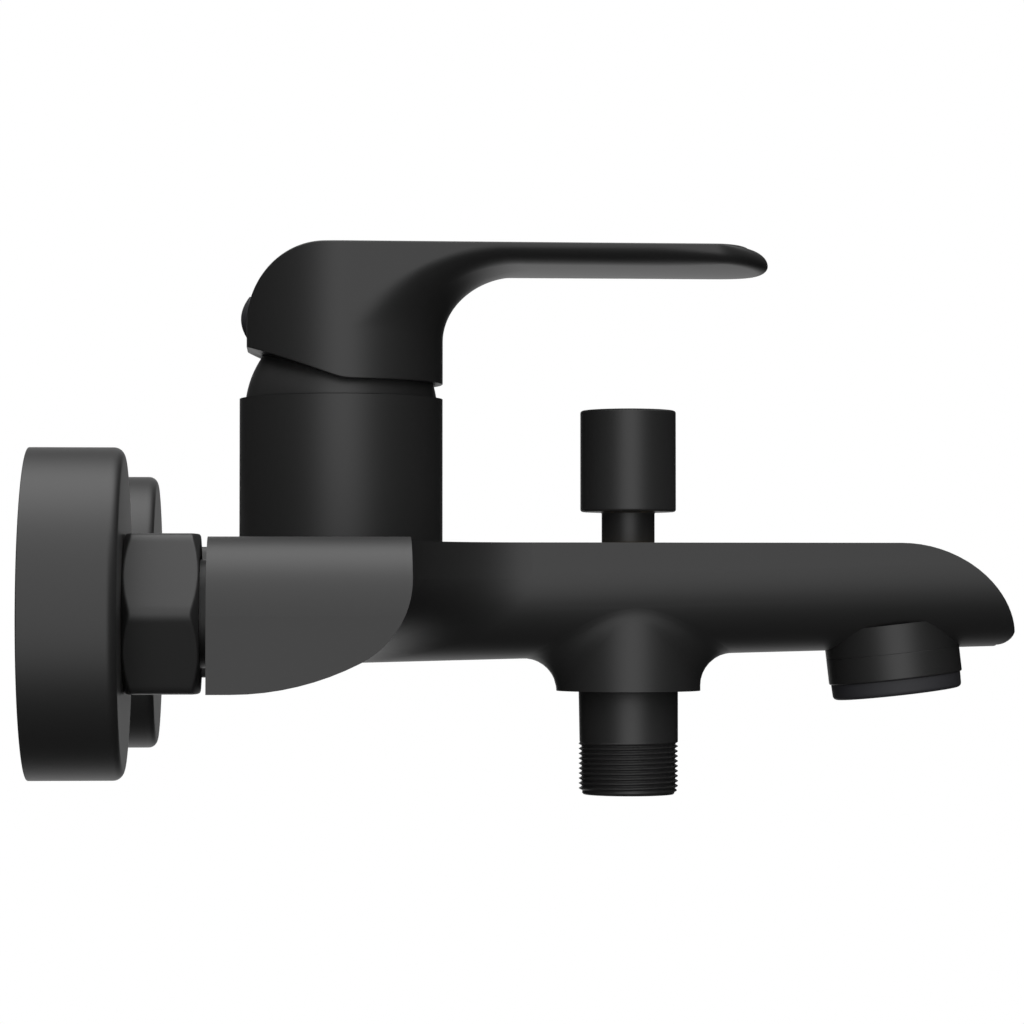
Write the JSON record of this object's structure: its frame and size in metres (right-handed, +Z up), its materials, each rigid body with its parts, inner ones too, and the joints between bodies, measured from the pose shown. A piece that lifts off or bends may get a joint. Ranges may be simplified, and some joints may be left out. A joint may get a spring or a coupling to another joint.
{
  "type": "wall mounted bath faucet",
  "caption": "Exposed single-lever wall bath mixer with round wall covers, flat-topped spout, pull-up diverter and threaded shower outlet, in satin black.",
  "frame": {"origin": "on the wall plane, midway between the two inlets, at the height of their axis", "axes": "+X out of the wall along the spout, +Z up, +Y towards the cold inlet"},
  "size_m": [0.2005, 0.2124, 0.1145],
  "materials": {
    "satin_black": "satin black coating",
    "black_plastic": "moulded, matt",
    "brass": "machined",
    "stainless": "drawn",
    "white_plastic": "moulded",
    "ceramic": "lapped ceramic",
    "rubber": "moulded"
  },
  "bodies": {
    "faucet_body": {"aerator_insert": "black_plastic", "aerator_ring": "satin_black", "aerator_screen": "black_plastic", "aerator_washer": "rubber", "cartridge_base": "white_plastic", "cartridge_seals": "rubber", "cartridge_shell": "black_plastic", "check_valve_cage": "white_plastic", "check_valve_spider": "white_plastic", "check_valve_spring": "stainless", "diverter_gland": "brass", "diverter_spring": "stainless", "dome_cover": "satin_black", "fixed_disc": "ceramic", "gland_oring": "rubber", "inlet_filter_cold": "stainless", "inlet_filter_hot": "stainless", "inlet_nipple_cold": "satin_black", "inlet_nipple_hot": "satin_black", "inlet_washer_cold": "rubber", "inlet_washer_hot": "rubber", "main_body": "satin_black", "retaining_nut": "brass", "shower_outlet": "satin_black", "union_nut_cold": "satin_black", "union_nut_hot": "satin_black", "wall_flange_cold": "satin_black", "wall_flange_hot": "satin_black", "wall_union_cold": "brass", "wall_union_hot": "brass"},
    "spindle_turn": {"spindle_guide": "white_plastic", "pivot_pin": "stainless"},
    "handle": {"lever": "satin_black", "lever_spindle": "stainless", "lever_screw": "stainless", "screw_cover": "satin_black"},
    "upper_disc": {"moving_disc": "ceramic", "disc_carrier": "black_plastic"},
    "diverter": {"diverter_knob": "satin_black", "diverter_rod": "stainless", "diverter_piston": "brass", "diverter_seal_lower": "rubber", "diverter_seal_upper": "rubber", "diverter_clip": "stainless"},
    "check_poppet": {"check_valve_poppet": "white_plastic"}
  },
  "joints": [
    {"name": "lever_swing", "type": "hinge", "parent": "faucet_body", "child": "spindle_turn", "pos_m": [0.0594, 0, 0.0423], "axis": [0, 0, 1], "range_deg": [-50, 50]},
    {"name": "lever_lift", "type": "hinge", "parent": "spindle_turn", "child": "handle", "pos_m": [0.0594, 0, 0.0423], "axis": [0, -1, 0], "range_deg": [0, 20]},
    {"name": "disc_slide", "type": "slide", "parent": "spindle_turn", "child": "upper_disc", "axis": [1, 0, 0], "range_m": [0, 0.0057]},
    {"name": "diverter_pull", "type": "slide", "parent": "faucet_body", "child": "diverter", "axis": [0, 0, 1], "range_m": [0, 0.0074], "stiffness_N_per_m": 250, "springref_m": -0.006, "deforming": ["diverter_spring"]},
    {"name": "check_valve", "type": "slide", "parent": "faucet_body", "child": "check_poppet", "axis": [0, 0, -1], "range_m": [0, 0.003], "stiffness_N_per_m": 60, "springref_m": -0.004, "deforming": ["check_valve_spring"]}
  ],
  "couplings": [
    {"joint": "disc_slide", "follows": "lever_lift", "m_per_rad": 0.016167}
  ]
}
